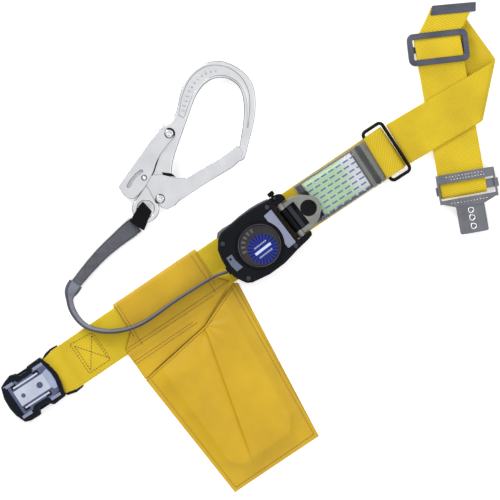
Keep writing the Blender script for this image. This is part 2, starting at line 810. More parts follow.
def refined(node: str, finish: bpy.types.Material, body: str, slot: str, edge_mm: float = 0.4,
            segments: int = 2, clamp: bool = True) -> bpy.types.Object:
    """Merged copy of a CAD node with rounded edges, shown in its place.

    Args:
        node: the CAD node.
        finish: its material.
        body: the CAD body it rides on.
        slot: the record's material slot.
        edge_mm: edge radius.
        segments: steps in the edge.
        clamp: keep the radius under the shortest edge's share.

    Returns:
        The object.
    """
    bm = merged_copy(node)
    round_edges(bm, edge_mm, segments, clamp=clamp)
    piece = to_object(f"{node}_finished", bm, finish, body, slot)
    mark_rims(piece)
    flat_shading(piece)
    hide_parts(node)
    return piece


# ---------------------------------------------------------------- belt
@dataclass
class Belt:
    """Waist belt: webbing to the ring, front strap with its fold, end strap round the tongue bar."""

    width: float = 50.0
    thick: float = 2.2
    front_top: float = 8.6        # mid-height of the front strap over the end strap
    back_low: float = 1.1         # mid-height of the part turned under
    fold: tuple[Point, Point] = ((90.9, -20.5), (136.8, 30.0))
    side_low: float = -28.5
    side_high: float = 21.5
    lean_from: float = -163.0     # where the tail starts to lean
    lean_slope: float = 0.704
    lean_most: float = 21.5
    stitch_box: tuple[float, float, float, float] = (-189.5, -161.5, -18.8, 19.0)

    def belt_point(self, x: float, y: float) -> Vector:
        """Mid-surface of the waist webbing.

        Args:
            x: along the belt, mm.
            y: across it, mm.

        Returns:
            The point, in metres.
        """
        rise = smoothstep(-208, -196, x)
        height = 5.0 * (1 - rise) + rise * (1.12 + 1.1 * smoothstep(-156, -144, x))
        narrow = 1.0 - 0.12 * (1 - smoothstep(-224, -206, x))
        ripple = 0.12 * math.sin(x / 17.0) * (1 - abs(y) / 40)
        return BELT.point(x, y * narrow, height + ripple * smoothstep(-190, -180, x))

    def webbing(self) -> bpy.types.Object:
        """Waist webbing from inside the moulded buckle to the ring."""
        start, end, half = -222.4, 220.0, self.width / 2

        def surface(u: float, v: float) -> Vector:
            """Place on the webbing."""
            return self.belt_point(start + (end - start) * u, -half + self.width * v)

        piece = to_object("waist_webbing", grid(220, 14, surface, (end - start, self.width)),
                          Finish.WEBBING.material(), "root", "yellow_webbing")
        thicken(piece, self.thick)
        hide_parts("belt_webbing")
        return piece

    def front_point(self, x: float, y: float) -> Vector:
        """Front strap's mid-surface.

        Args:
            x: along the unfolded strap, mm.
            y: across it, mm.

        Returns:
            The point, in metres.
        """
        (ax, ay), (bx, by) = self.fold
        run = math.hypot(bx - ax, by - ay)
        tx, ty = (bx - ax) / run, (by - ay) / run
        nx, ny = ty, -tx
        beyond = (x - ax) * nx + (y - ay) * ny
        along = (x - ax) * tx + (y - ay) * ty
        radius = (self.front_top - self.back_low) / 2
        height = 2.2 + (self.front_top - 2.2) * smoothstep(0, 29, x)
        if beyond <= 0:
            return FRONT.point(x, y, height)
        if beyond < math.pi * radius:
            turn = beyond / radius
            off, height = radius * math.sin(turn), self.front_top - radius * (1 - math.cos(turn))
        else:
            off, height = -(beyond - math.pi * radius), self.back_low
        return FRONT.point(ax + tx * along + nx * off, ay + ty * along + ny * off, height)

    def front(self) -> bpy.types.Object:
        """Front strap, turned under at its far edge and run back below the end strap."""
        start, end, low, high = 0.2, 205.0, -26.0, 23.0
        cut_low, cut_high = 170.0, 205.0

        def surface(u: float, v: float) -> Vector:
            """Unfolded strap, its far end cut on the second fold's line."""
            y = low + (high - low) * v
            last = cut_low + (cut_high - cut_low) * v
            return self.front_point(start + (last - start) * u, y)

        piece = to_object("front_strap_webbing", grid(170, 16, surface, (end - start, self.width)),
                          Finish.WEBBING.material(), "root", "yellow_webbing")
        thicken(piece, self.thick)
        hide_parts("front_strap")
        return piece

    def lean(self, x: float) -> float:
        """How far the tail's end is pushed sideways above the slider, at a place x along it, in mm."""
        past = max(0.0, self.lean_from - x)
        return min(self.lean_most, self.lean_slope * past * smoothstep(0, 9, past))

    def end(self) -> bpy.types.Object:
        """End strap: main layer, turn round the tongue bar, and the tail up to the metal tip."""
        profile = [(-166, 3.6), (-60, 3.6), (-24, 3.6), (-10, 2.3), (3, 2.2), (6.6, 2.6), (8.0, 5.4),
                   (6.6, 8.4),
                   (3, 8.8), (-10, 8.7), (-24, 6.2), (-60, 6.1), (-122, 6.1), (-134, 8.9), (-143, 10.7),
                   (-150, 10.9),
                   (-157, 10.2), (-165, 9.1), (-195, 9.1)]
        path = smooth_path(profile, 3)
        length = sum(math.dist(a, b) for a, b in zip(path, path[1:]))
        half_turn = 0.47

        def surface(u: float, v: float) -> Vector:
            """Both layers, with the tail's lean."""
            x, z = follow(path, u)
            shift = self.lean(x) if u > half_turn else 0.0
            slant = 4.0 * smoothstep(-170, -195, x) * (v - 0.5) if u > half_turn else 0.0
            y = self.side_low + (self.side_high - self.side_low) * v
            return TAIL.point(x + slant, y * (1 - 0.07 * smoothstep(-163, -190, x)) + shift, z)

        piece = to_object("end_strap_webbing", grid(280, 14, surface, (length, self.width)),
                          Finish.WEBBING.material(), "root", "yellow_webbing")
        thicken(piece, self.thick)
        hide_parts("end_strap")
        return piece

    def sewing(self) -> bpy.types.Object:
        """Box stitch near the moulded buckle."""
        x0, x1, y0, y1 = self.stitch_box
        corners = [(x0, y1), (x1 - 0.5, y1 - 2.6), (x1, y0), (x0, y0 + 0.4), (x0, y1)]
        inner = [[(x0 + 3, y1 - 4), (x0 + 3, y0 + 3)], [(x1 - 3, y1 - 5), (x0 + 3, y0 + 2)],
                 [(x0 + 3, y1 - 4), (x1, y0 + 1)], [(x1 - 3, y1 - 5), (x1 - 2, y0 + 3)]]
        runs = []
        for run in [corners] + inner:
            dense = [follow(run, k / 24) for k in range(25)]
            runs.append([self.belt_point(x, y) + Vector((0, 0, 1.25 * MM)) for x, y in dense])
        return stitches("belt_box_stitch", runs, "root")

    def make(self) -> None:
        """Build the belt."""
        self.webbing()
        self.front()
        self.end()
        self.sewing()


# ---------------------------------------------------------------- pouch
@dataclass
class Pouch:
    """Cloth lanyard pouch that hangs from a belt loop, laid flat under the belt."""

    cloth: float = 0.8
    back_z: float = 0.45          # mid-height of the back cloth
    mouth: tuple[Point, ...] = ((-143.0, -58.8), (-57.0, -46.5), (-6.0, -26.0))
    foot: tuple[Point, Point] = ((-131.6, -212.9), (-22.6, -213.6))
    puff: float = 8.0
    pleat: tuple[Point, Point] = ((-58.0, -46.0), (-97.0, -196.0))

    def outline(self, u: float, v: float) -> Point:
        """Place on the front cloth.

        Args:
            u: share from left to right.
            v: share from mouth to foot.

        Returns:
            The place in the belt's frame, mm.
        """
        top = follow(self.mouth, u)
        low = follow(self.foot, u)
        return (top[0] + (low[0] - top[0]) * v, top[1] + (low[1] - top[1]) * v)

    def front_height(self, x: float, y: float, u: float, v: float) -> float:
        """Height of the front cloth: puffed in the middle, sewn down at its sides and foot.

        Args:
            x: place in the belt's frame, mm.
            y: place in the belt's frame, mm.
            u: share from left to right.
            v: share from mouth to foot.

        Returns:
            The height, mm.
        """
        edge = min(1.0, 4.2 * min(u, 1 - u)) * min(1.0, 5.0 * (1 - v))
        swell = self.puff * (math.sin(edge * math.pi / 2) ** 0.8)
        (ax, ay), (bx, by) = self.pleat
        run = math.hypot(bx - ax, by - ay)
        side = ((x - ax) * (by - ay) - (y - ay) * (bx - ax)) / run
        along = ((x - ax) * (bx - ax) + (y - ay) * (by - ay)) / run
        fade = smoothstep(-4, 12, along) * (1 - smoothstep(run - 30, run + 10, along))
        step = -3.4 * fade * (smoothstep(-0.9, 0.9, side) - smoothstep(2, 30, side))
        folds = 0.45 * math.sin(0.085 * (x * 0.9 + y * 0.35)) * math.sin(0.02 * y + 1.0)
        rays = 0.6 * math.sin(9 * math.atan2(y + 46.0, x + 57.0)) * math.exp(-math.hypot(x + 57, y + 46) / 55)
        folds += 0.4 * math.sin(0.16 * x + 0.05 * y) * smoothstep(0.6, 1.0, v)
        droop = 1.0 - 0.45 * (1 - smoothstep(0.0, 0.16, v))
        return 1.5 + (swell * droop + step + folds + rays) * min(1.0, edge * 1.6)

    def front_point(self, u: float, v: float) -> Vector:
        """Mid-surface of the front cloth."""
        x, y = self.outline(u, v)
        return BELT.point(x, y, max(1.5, self.front_height(x, y, u, v)))

    def front(self) -> bpy.types.Object:
        """Front cloth."""
        piece = to_object("pouch_front_cloth", grid(150, 190, self.front_point, (140, 180)),
                          Finish.POUCH_CLOTH.material(), "root", "yellow_cloth")
        thicken(piece, self.cloth, rim=False)
        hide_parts("pouch_front")
        return piece

    def back(self) -> bpy.types.Object:
        """Back cloth, flat on the floor, with the belt loop's back layer."""
        left = [(-127, 28.2), (-143.6, -17.0), (-143.4, -36.0), (-131.6, -213.0)]
        right = [(-20.2, 28.2), (-20.0, -16.0), (-1.8, -28.0), (-22.8, -213.6)]

        def surface(u: float, v: float) -> Vector:
            """Place on the cloth, between its left and right edges."""
            (ax, ay), (bx, by) = follow(left, v), follow(right, v)
            return BELT.point(ax + (bx - ax) * u, ay + (by - ay) * u, self.back_z)

        piece = to_object("pouch_back_cloth", grid(60, 110, surface, (118, 242)),
                          Finish.POUCH_CLOTH.material(),
                          "root", "yellow_cloth")
        thicken(piece, self.cloth, rim=False)
        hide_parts("pouch_back")
        return piece

    def loop_point(self, x: float, y: float) -> Vector:
        """Mid-surface of the belt loop's front layer at a place in the belt's frame, in mm."""
        over = 4.1 + 0.25 * math.sin(x / 13.0) * math.cos(y / 15.0)
        height = 1.3 + (over - 1.3) * smoothstep(28.4, 26.0, y) * smoothstep(-33.0, -24.5, y)
        return BELT.point(x, y, height + 0.35 * (1 - smoothstep(-30, -36, y)) * smoothstep(-60, -36, y))

    def loop(self) -> bpy.types.Object:
        """Belt loop's front layer, widening into the band above the mouth."""
        left = [(-126.8, 28.3), (-126.8, -6.0), (-143.2, -20.0), (-143.0, -57.5)]
        right = [(-20.4, 28.3), (-20.4, -6.0), (-9.0, -21.5), (-56.5, -45.5)]

        def surface(u: float, v: float) -> Vector:
            """Place on the loop: v from the top edge down to the mouth."""
            a, b = follow(left, v), follow(right, v)
            return self.loop_point(a[0] + (b[0] - a[0]) * u, a[1] + (b[1] - a[1]) * u)

        piece = to_object("pouch_loop_cloth", grid(110, 80, surface, (112, 88)),
                          Finish.POUCH_CLOTH.material(),
                          "root", "yellow_cloth")
        thicken(piece, self.cloth, rim=False)
        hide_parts("pouch_loop")
        return piece

    def sewing(self) -> bpy.types.Object:
        """Seams of the pouch: loop ends, double rows, mouth hem and the line along sides and foot."""
        lift = Vector((0, 0, 0.55 * MM))
        flat_runs = [
            [(-122.5, 27.6), (-124.5, -25.7)], [(-126.0, 24.6), (-127.2, -13.1)],
            [(-27.3, 27.1), (-27.6, -23.0)], [(-21.6, 24.6), (-23.4, -15.8)],
            [(-143.0, -19.4), (-11.0, -20.4)], [(-143.0, -22.6), (-31.4, -24.4)],
            [(-142.8, -35.2), (-66.0, -35.6)], [(-142.0, -38.6), (-62.0, -38.6)],
        ]
        runs = []
        for run in flat_runs:
            dense = [follow(run, k / 40) for k in range(41)]
            runs.append([self.loop_point(x, y) + lift for x, y in dense])
        steps = [k / 60 for k in range(61)]
        inset_u, inset_v = 0.035, 0.975
        runs.append([self.front_point(inset_u, v * inset_v) + lift for v in steps])
        runs.append([self.front_point(1 - inset_u, v * inset_v) + lift for v in steps])
        runs.append([self.front_point(inset_u + (1 - 2 * inset_u) * v, inset_v) + lift for v in steps])
        runs.append([self.front_point(v, 0.012) + lift for v in steps])
        return stitches("pouch_seams", runs, "root", pitch=3.0, length=2.7, width=0.7)

    def make(self) -> None:
        """Build the pouch."""
        self.back()
        self.loop()
        self.front()
        self.sewing()


# ---------------------------------------------------------------- lanyard
@dataclass
class Lanyard:
    """Grey webbing from the reel to the hook, its sewn end in a clear sleeve."""

    width: float = 16.0
    thick: float = 1.8
    route: tuple[Point, ...] = (
        (-24.2, -26.5), (-35.8, -29.6), (-46.8, -36.0), (-62.8, -46.0), (-80.8, -57.2),
        (-98.8, -70.4), (-117.8, -83.2), (-139.8, -90.4), (-160.8, -90.7), (-179.3, -84.8),
        (-191.3, -70.3), (-195.4, -55.8), (-192.6, -45.6), (-188.2, -39.2))

    def height(self, s: float) -> float:
        """Mid-height of the webbing at a share of its length."""
        return 17.0 - 4.0 * smoothstep(0.0, 0.22, s) - 4.2 * smoothstep(0.35, 0.8, s) - 4.0 * smoothstep(0.9,
                                                                                                         1.0,
                                                                                                         s)

    def path(self) -> list[Vector]:
        """Points of the route's smooth spline."""
        curve = bpy.data.curves.new("lanyard_route", "CURVE")
        curve.dimensions = "3D"
        spline = curve.splines.new("NURBS")
        spline.points.add(len(self.route) - 1)
        for k, (x, y) in enumerate(self.route):
            z = self.height(k / (len(self.route) - 1))
            spline.points[k].co = (x * MM, y * MM, z * MM, 1)
        spline.order_u = 3
        spline.use_endpoint_u = True
        spline.resolution_u = 10
        holder = bpy.data.objects.new("lanyard_route", curve)
        mesh = bpy.data.meshes.new_from_object(holder)
        points = [v.co.copy() for v in mesh.vertices]
        bpy.data.objects.remove(holder)
        bpy.data.meshes.remove(mesh)
        return points

    def make(self) -> None:
        """Build the free webbing and the sleeve."""
        path = self.path()
        count = len(path) - 1
        length = sum((b - a).length for a, b in zip(path, path[1:]))

        def surface(u: float, v: float) -> Vector:
            """On edge at the reel, turned flat at the sleeve."""
            k = min(count, round(u * count))
            before, after = path[max(0, k - 1)], path[min(count, k + 1)]
            heading = (after - before).normalized()
            side = Vector((-heading.y, heading.x, 0)).normalized()
            turn = math.radians(84 - 6 * smoothstep(0.15, 0.6, u) - 6 * smoothstep(0.6, 0.85, u)
                                - 62 * smoothstep(0.86, 1.0, u))
            across = side * math.cos(turn) + Vector((0, 0, 1)) * math.sin(turn)
            return path[k] + across * (v - 0.5) * self.width * MM

        piece = to_object("lanyard_free_webbing", grid(count, 10, surface, (length / MM, self.width)),
                          Finish.LANYARD.material(), "root", "grey_webbing")
        thicken(piece, self.thick, rim=False)
        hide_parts("lanyard_webbing")
        piece.parent = None
        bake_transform(piece)
        tuple(path[0])
        self.sleeve()

    def sleeve(self) -> None:
        """Sewn double end of the webbing and the clear sleeve that covers it."""
        centre = [(-108.0, 33.0), (-84.0, 27.5), (-62.0, 21.0), (-42.0, 12.5), (-30.0, 7.0), (-19.5, 2.0)]
        widths = [14.0, 15.5, 17.0, 19.0, 21.5, 21.0]

        def ribbon(grow: float, height: float) -> Surface:
            """Surface of a flat band along the sleeve's line, wider by grow and at a height, mm."""
            line = smooth_path([(x, y, w) for (x, y), w in zip(centre, widths)], 2)

            def surface(u: float, v: float) -> Vector:
                """Place on the band, which bulges a little."""
                x, y, w = follow(line, u)
                near = follow(line, min(1.0, u + 0.02))
                back = follow(line, max(0.0, u - 0.02))
                dx, dy = near[0] - back[0], near[1] - back[1]
                run = math.hypot(dx, dy)
                off = (v - 0.5) * (w + grow)
                bulge = 1.0 - (2 * v - 1) ** 2
                return HOOK.point(x - dy / run * off, y + dx / run * off,
                                  height + 0.5 * bulge + 0.35 * math.sin(u * 40 + v * 3))
            return surface

        inner = to_object("lanyard_sewn_end", grid(90, 10, ribbon(-3.0, 2.9), (90, 15)),
                          Finish.SLEEVED.material(),
                          "hook", "grey_webbing")
        thicken(inner, 2.0)
        cover = to_object("lanyard_clear_sleeve", grid(90, 12, ribbon(0.6, 3.1), (90, 18)),
                          Finish.CLEAR.material(),
                          "hook", "clear_vinyl")
        thicken(cover, 3.6)
        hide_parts("lanyard_sleeve")
        surface = ribbon(-6.0, 4.9)
        runs = [[surface(k / 60, 0.5 + 0.42 * math.sin(k * 0.55)) for k in range(6, 46)]]
        stitches("lanyard_wave_stitch", runs, "hook", pitch=2.4, length=2.2, width=0.7)


# ---------------------------------------------------------------- absorber
@dataclass
class Absorber:
    """Shock absorber pack: tear webbing and label in a clear sheath, neck, and loop over the ring."""

    low: float = 3.9
    top: float = 15.3

    def sheath_point(self, u: float, v: float) -> Vector:
        """Top skin of the sheath, pinched flat towards its ends."""
        x, y = -96.0 + 94.5 * u, -26.0 + 50.5 * v
        across = 1.0 - (2 * v - 1) ** 6
        ends = smoothstep(0.0, 0.13, u) * (1 - 0.6 * smoothstep(0.82, 1.0, u))
        crease = 0.25 * math.sin(u * 55 + v * 9) * (1 - ends * 0.8)
        return ABSORBER.point(x, y, self.low + 1.6 + (self.top - self.low - 2.2) * ends * across + crease)

    def inset(self, low: Point, high: Point, drop: float) -> Surface:
        """Part of the sheath's top skin, set lower.

        Args:
            low: its first corner, as shares of the skin.
            high: its last corner, as shares of the skin.
            drop: how far below the skin it lies, mm.

        Returns:
            The surface.
        """
        def surface(u: float, v: float) -> Vector:
            """Place on the part."""
            place = self.sheath_point(low[0] + (high[0] - low[0]) * u, low[1] + (high[1] - low[1]) * v)
            return place - Vector((0, 0, drop * MM))
        return surface

    def make(self) -> None:
        """Build the absorber's soft pieces."""
        skin = to_object("sheath_skin", grid(90, 50, self.sheath_point, (96, 51)), Finish.CLEAR.material(),
                         "root",
                         "clear_vinyl")
        thicken(skin, 0.7)

        def under(u: float, v: float) -> Vector:
            """Underside of the sheath."""
            return ABSORBER.point(-95.5 + 93.5 * u, -25.5 + 49.5 * v, self.low + 0.5)

        back = to_object("sheath_back_skin", grid(30, 16, under, (96, 51)), Finish.CLEAR.material(), "root",
                         "clear_vinyl")
        thicken(back, 0.7)
        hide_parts("absorber_sheath")
        label = to_object("absorber_print",
                          grid(60, 36, self.inset((0.1, 0.08), (0.755, 0.93), 1.0), (64, 42)),
                          PrintedLabel().make(), "root", "label_print")
        thicken(label, 0.4, rim=False)
        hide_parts("absorber_label")
        pack = to_object("tear_webbing_pack",
                         grid(60, 30, self.inset((0.02, 0.05), (0.93, 0.95), 1.7), (88, 45)),
                         Finish.TAPE.material(), "root", "grey_webbing")
        thicken(pack, 1.0)
        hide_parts("absorber_webbing")
        neck = (Finish.GREY_BAND, Finish.DARK_BAND, Finish.GREY_BAND)
        for k, low_u in enumerate((0.775, 0.835, 0.895)):
            surface = self.inset((low_u, 0.03), (low_u + 0.045, 0.97), -0.2)
            band = to_object(f"absorber_band_{k + 1}", grid(8, 30, surface, (5, 48)), neck[k].material(),
                             "root",
                             "grey_webbing")
            thicken(band, 1.0)
            if k == 0:
                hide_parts("absorber_neck")
        self.loop()

    def loop(self) -> None:
        """Yellow loop of the absorber's strap round the ring."""
        profile = [(-4.6, 5.0), (10, 5.0), (15.5, 5.4), (17.4, 8.2), (15.5, 11.4), (10, 13.4), (4, 14.0),
                   (-1, 13.0),
                   (-4.6, 10.6)]
        path = smooth_path(profile, 3)
        length = sum(math.dist(a, b) for a, b in zip(path, path[1:]))

        def surface(u: float, v: float) -> Vector:
            """Both layers of the loop."""
            x, z = follow(path, u)
            return ABSORBER.point(x + 1.5 * (v - 0.5), -24.4 + 50.0 * v, z)

        piece = to_object("absorber_strap_loop", grid(50, 14, surface, (length, 50)),
                          Finish.WEBBING.material(),
                          "root", "yellow_webbing")
        thicken(piece, 2.0)
        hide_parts("ring_loop")


# ---------------------------------------------------------------- hook
@dataclass
class ForgedHook:
    """Large hook: forged body with a recessed panel round its bow, rivets and a black insert."""

    low: float = 4.8
    top: float = 12.8
    edge: float = 1.3
    panel_depth: float = 0.8
    panel_slope: float = 0.6      # slant of the panel's walls
    panel_outer: tuple[Point, ...] = ((106, 12.6), (114.2, 14.8), (124.3, 18.2), (140.3, 19.7), (151.4, 17.9),
                                      (161.5, 13.3), (169.1, 6.4), (174.2, -2.7), (176.6, -14.3),
                                      (174.6, -27.3),
                                      (168.6, -38.5), (159.8, -46.9), (150.4, -51.9), (137.6, -57.0),
                                      (127, -61.0))
    panel_inner: tuple[Point, ...] = ((126.2, -59.6), (139.1, -53.9), (151.5, -47.3), (160, -40.2),
                                      (166.1, -29.9),
                                      (167.3, -19.5), (165, -9.8), (159.8, -2.5), (151.4, 3.6), (137.3, 8.0),
                                      (127.6, 8.3), (116.2, 6.9), (106, 5.4))
    mark_line: tuple[Point, ...] = ((110, 9.8), (118, 11.3), (127.4, 13.2), (139.7, 13.9), (151.8, 11),
                                    (161.9, 5),
                                    (168.8, -4.3))
    insert: tuple[Point, ...] = ((42.9, 2.0), (46.6, -8.5), (45.2, -14.6), (41.2, -1.6))

    def panel(self, low: float, height: float) -> bmesh.types.BMesh:
        """Cutter of the recessed panel, raised by height from a level low, in mm."""
        outer = smooth_path(self.panel_outer, 2)
        inner = smooth_path(self.panel_inner, 2)
        cutter = prism([HOOK.point(x, y, low) for x, y in outer + inner], height)
        round_edges(cutter, self.panel_slope, 1, 60.0, clamp=False)
        return cutter

    def body(self) -> None:
        """Forged body, its rims rounded and the panel sunk into both faces."""
        bm = merged_copy("hook_body")
        round_edges(bm, self.edge, 4, clamp=False)
        cutters = [self.panel(self.top - self.panel_depth, 3.0),
                   self.panel(self.low - 2.4, 2.4 + self.panel_depth)]
        bm = carved(bm, cutters)
        round_edges(bm, 0.3, 1, 70.0)
        piece = to_object("hook_body_forged", bm, Finish.FORGED.material(), "hook", "forged_steel")
        mark_rims(piece)
        flat_shading(piece)
        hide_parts("hook_body")

    def marks(self) -> None:
        """Row of plain raised lozenges in the panel, in place of maker's words."""
        line = smooth_path(self.mark_line, 2)
        runs = []
        count = 12
        for k in range(count):
            x, y = follow(line, (k + 0.5) / count)
            near = follow(line, min(1.0, (k + 0.6) / count))
            run = math.dist((x, y), near)
            nx, ny = -(near[1] - y) / run, (near[0] - x) / run
            z = self.top - self.panel_depth + 0.05
            half = 2.3 if k % 3 else 1.5
            runs.append([HOOK.point(x - nx * half, y - ny * half, z),
                         HOOK.point(x + nx * half, y + ny * half, z)])
        piece = stitches("hook_panel_marks", runs, "hook", pitch=6.0, length=4.8, width=1.9,
                         finish=Finish.FORGED.material(), slot="forged_steel")
        mark_rims(piece)

    def rivet(self, node: str, seat: float) -> None:
        """Rivet with a dished head at both ends.

        Args:
            node: the CAD node.
            seat: height of the sheet its upper head lies on, mm.
        """
        low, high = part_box(node)
        radius = (high.x - low.x) / 2 / MM
        z0, z1 = low.z / MM, high.z / MM
        profile = [(0, z0), (radius - 0.5, z0), (radius, z0 + 0.5), (radius, z0 + 1),
                   (radius * 0.5, z0 + 1.1),
                   (radius * 0.5, z1 - 1.1), (radius, z1 - 1), (radius, z1 - 0.5), (radius - 0.6, z1),
                   (radius * 0.55, z1), (radius * 0.4, z1 - 0.45), (0, z1 - 0.45)]
        piece = to_object(f"{node}_dished", lathe(profile, (low + high) / 2), Finish.SHEET.material(), "hook",
                          "plated_sheet")
        mark_rims(piece)
        flat_shading(piece)
        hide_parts(node)
        self.ring(f"{node}_ring", (low + high) / 2, radius, seat, "hook")

    def ring(self, name: str, centre: Vector, radius: float, z: float, body: str) -> None:
        """Dark ring round a rivet's head, where grime settles.

        Args:
            name: the piece's name.
            centre: a point of the rivet's axis, in metres.
            radius: of the rivet's head, mm.
            z: height of the sheet it lies on, mm.
            body: the CAD body it rides on.
        """
        inner, outer = radius - 0.1, radius + 0.8
        profile = [(inner, z - 0.1), (outer, z - 0.1), (outer, z + 0.12), (outer - 0.3, z + 0.2),
                   (inner, z + 0.2),
                   (inner, z - 0.1)]
        to_object(name, lathe(profile, centre), Finish.DARK_STEEL.material(), body, "dark_steel")

    def stud(self) -> None:
        """Head of the lock stud on the lever."""
        z = 16.2
        profile = [(0, z), (2.3, z), (2.3, z + 0.4), (1.8, z + 0.8), (1.2, z + 0.8), (0.9, z + 0.5),
                   (0, z + 0.5)]
        to_object("lock_stud_head", lathe(profile, HOOK.point(29.4, 16.1, z)), Finish.SHEET.material(),
                  "lever",
                  "plated_sheet")
        self.ring("lock_stud_ring", HOOK.point(29.4, 16.1, z), 2.4, z, "lever")

    def make(self) -> None:
        """Build the hook's own pieces."""
        self.body()
        self.marks()
        for node, seat in (("gate_pivot_rivet", 14.5), ("lever_pivot_rivet", 16.2)):
            self.rivet(node, seat)
        self.stud()
        plate_piece("gate_black_insert", HOOK, self.insert, 14.3, 14.7, Finish.BLACK.material(), "gate",
                    "black_plastic", 0.1)


# ---------------------------------------------------------------- reel trim
@dataclass
class ReelTrim:
    """What shows on the reel besides the model's own pieces."""

    lip: tuple[Point, ...] = ((-32, 34), (-27.5, 38.4), (-21, 38.8), (-13, 37.9), (-9.4, 37.6), (2, 38.4),
                              (15.5, 38.2), (25, 37.1), (33, 35.6), (37.2, 34.4), (37.2, 32.4), (33, 33.4),
                              (25, 34.9), (15.5, 36),
                              (2, 36.2), (-9.4, 35.6), (-21, 35.2), (-30, 32.6))
    lip_z: tuple[float, float] = (14.0, 32.4)
    marks: int = 6
    marks_radius: float = 17.4
    tether_x: float = 48.0
    tether_length: float = 28.0
    tether_width: float = 33.0
    tether_z: float = 13.4

    def make(self) -> None:
        """Build the trim."""
        plate_piece("cover_lit_edge", REEL, self.lip, *self.lip_z, Finish.COVER_EDGE.material(), "root",
                    "smoke_plastic", 0.5)
        ring = [(22.4, 36.2), (23.9, 36.2), (23.9, 36.9), (23.4, 37.25), (22.8, 37.25), (22.4, 36.8),
                (22.4, 36.2)]
        to_object("bezel_lip", lathe(ring, REEL.point(0, 0, 0), 72), Finish.BEZEL_LIP.material(), "root",
                  "black_plastic")
        for k in range(self.marks):
            turn = math.radians(82 + 17 * k)
            cos, sin = math.cos(turn), math.sin(turn)
            corners = [(r * cos - t * sin, r * sin + t * cos)
                       for r, t in ((self.marks_radius - 2.3, -1.0), (self.marks_radius + 2.3, -1.4),
                                    (self.marks_radius + 2.3, 1.4), (self.marks_radius - 2.3, 1.0))]
            plate_piece(f"disc_raised_mark_{k + 1}", REEL, corners, 35.6, 36.15, Finish.BEZEL_LIP.material(),
                        "root",
                        "black_plastic", 0.15)
        self.tether()

    def tether(self) -> None:
        """Black webbing from the absorber that runs on under the bracket."""
        def surface(u: float, v: float) -> Vector:
            """Place on the webbing, which bulges a little."""
            return REEL.point(self.tether_x + self.tether_length * u, self.tether_width * (v - 0.5),
                              self.tether_z + 0.8 * math.sin(u * 3.1) + 0.2 * math.sin(v * 9))

        size = (self.tether_length, self.tether_width)
        piece = to_object("tether_webbing", grid(30, 20, surface, size), Finish.TAPE.material(), "root",
                          "black_tape")
        thicken(piece, 2.2)


# ---------------------------------------------------------------- moulded buckle trim
@dataclass
class BuckleTrim:
    """See-through top of the moulded buckle: pale inner walls, rails and a dark end band."""

    floor: float = 14.4
    window: tuple[Point, ...] = ((-57.5, 17), (-46, 18.4), (-44, 15), (-26, 15), (-24, 18.6), (-11.5, 18.2),
                                 (-8.6, 6), (-8.4, -4), (-11.5, -16.6), (-23.5, -18.6), (-26, -15),
                                 (-43, -15), (-46, -18.4),
                                 (-57, -17))
    band: tuple[Point, ...] = ((-65.2, 7.6), (-61.4, 18.8), (-58.6, 18.0), (-57.6, 8), (-57.4, -4),
                               (-58.4, -18),
                               (-63.4, -16.5), (-65.8, -4))
    glass: tuple[Point, ...] = ((-17.2, 9.2), (-10.6, 11.1), (-9.0, 4.6), (-9.2, -5.6), (-10.6, -12.0),
                                (-14.4, -12.0), (-17.4, -7.5), (-18.0, 1.8))
    rails: tuple[Point, ...] = ((-17.2, 18.0), (-55.0, 17.4), (-17.8, -19.6), (-54.0, -19.6))
    bars: tuple[float, ...] = (12.2, -12.2)
    arm_upper: tuple[Point, ...] = ((-12.0, 19.6), (-7.9, 18.7), (-3.7, 21.4), (3.4, 24.4), (12.1, 23.9),
                                    (12.4, 26.3), (3.7, 26.8), (-3.8, 25.2), (-10.0, 21.6))
    arm_lower: tuple[Point, ...] = ((-10.4, -20.9), (-7.0, -25.7), (2.9, -28.2), (12.8, -26.9), (13.0, -24.5),
                                    (4.6, -25.5), (-2.9, -23.2))

    arm_z: tuple[float, float] = (1.0, 3.6)
    rail_half: Point = (6, 1.7)
    bar_span: Point = (-52, -21)
    bar_half: float = 0.9
    pockets: tuple[float, ...] = (-50.5, -22.5)
    pocket_half: float = 3.2
    pocket_span: Point = (10.4, 15.6)

    def flat(self, name: str, outline: Sequence[Point], span: Point, finish: Finish, edge: float) -> None:
        """Flat plastic plate of the buckle.

        Args:
            name: the piece's name after "buckle_".
            outline: its corners, mm.
            span: heights of its underside and top, mm.
            finish: its finish.
            edge: edge radius, mm.
        """
        plate_piece(f"buckle_{name}", BUCKLE_PLACE, outline, *span, finish.material(), "root",
                    "smoke_plastic", edge)

    def make(self) -> None:
        """Build the trim."""
        z = self.floor
        self.flat("inner_window", self.window, (z, z + 0.5), Finish.BUCKLE_WINDOW, 0.2)
        self.flat("end_band", self.band, (z, z + 1.1), Finish.BUCKLE, 0.4)
        self.flat("arched_glass", self.glass, (z + 0.4, z + 0.95), Finish.BUCKLE_GLASS, 0.25)
        for side, arm in (("upper", self.arm_upper), ("lower", self.arm_lower)):
            self.flat(f"arm_{side}", arm, self.arm_z, Finish.BUCKLE, 0.5)
        rail_x, rail_y = self.rail_half
        for k, (x, y) in enumerate(self.rails):
            corners = box_corners(x - rail_x, x + rail_x, y - rail_y, y + rail_y)
            self.flat(f"rail_{k + 1}", corners, (z + 0.3, z + 1.0), Finish.GREY_PLATE, 0.3)
        for k, y in enumerate(self.bars):
            corners = box_corners(*self.bar_span, y - self.bar_half, y + self.bar_half)
            self.flat(f"inner_wall_{k + 1}", corners, (z + 0.3, z + 0.9), Finish.PALE_RAIL, 0.2)
        near, far = self.pocket_span
        for k, x in enumerate(self.pockets):
            for letter, side in (("a", -1), ("b", 1)):
                corners = box_corners(x - self.pocket_half, x + self.pocket_half, side * near, side * far)
                self.flat(f"dark_pocket_{k + 1}_{letter}", corners[::side], (z + 0.4, z + 0.65),
                          Finish.BUCKLE, 0.1)


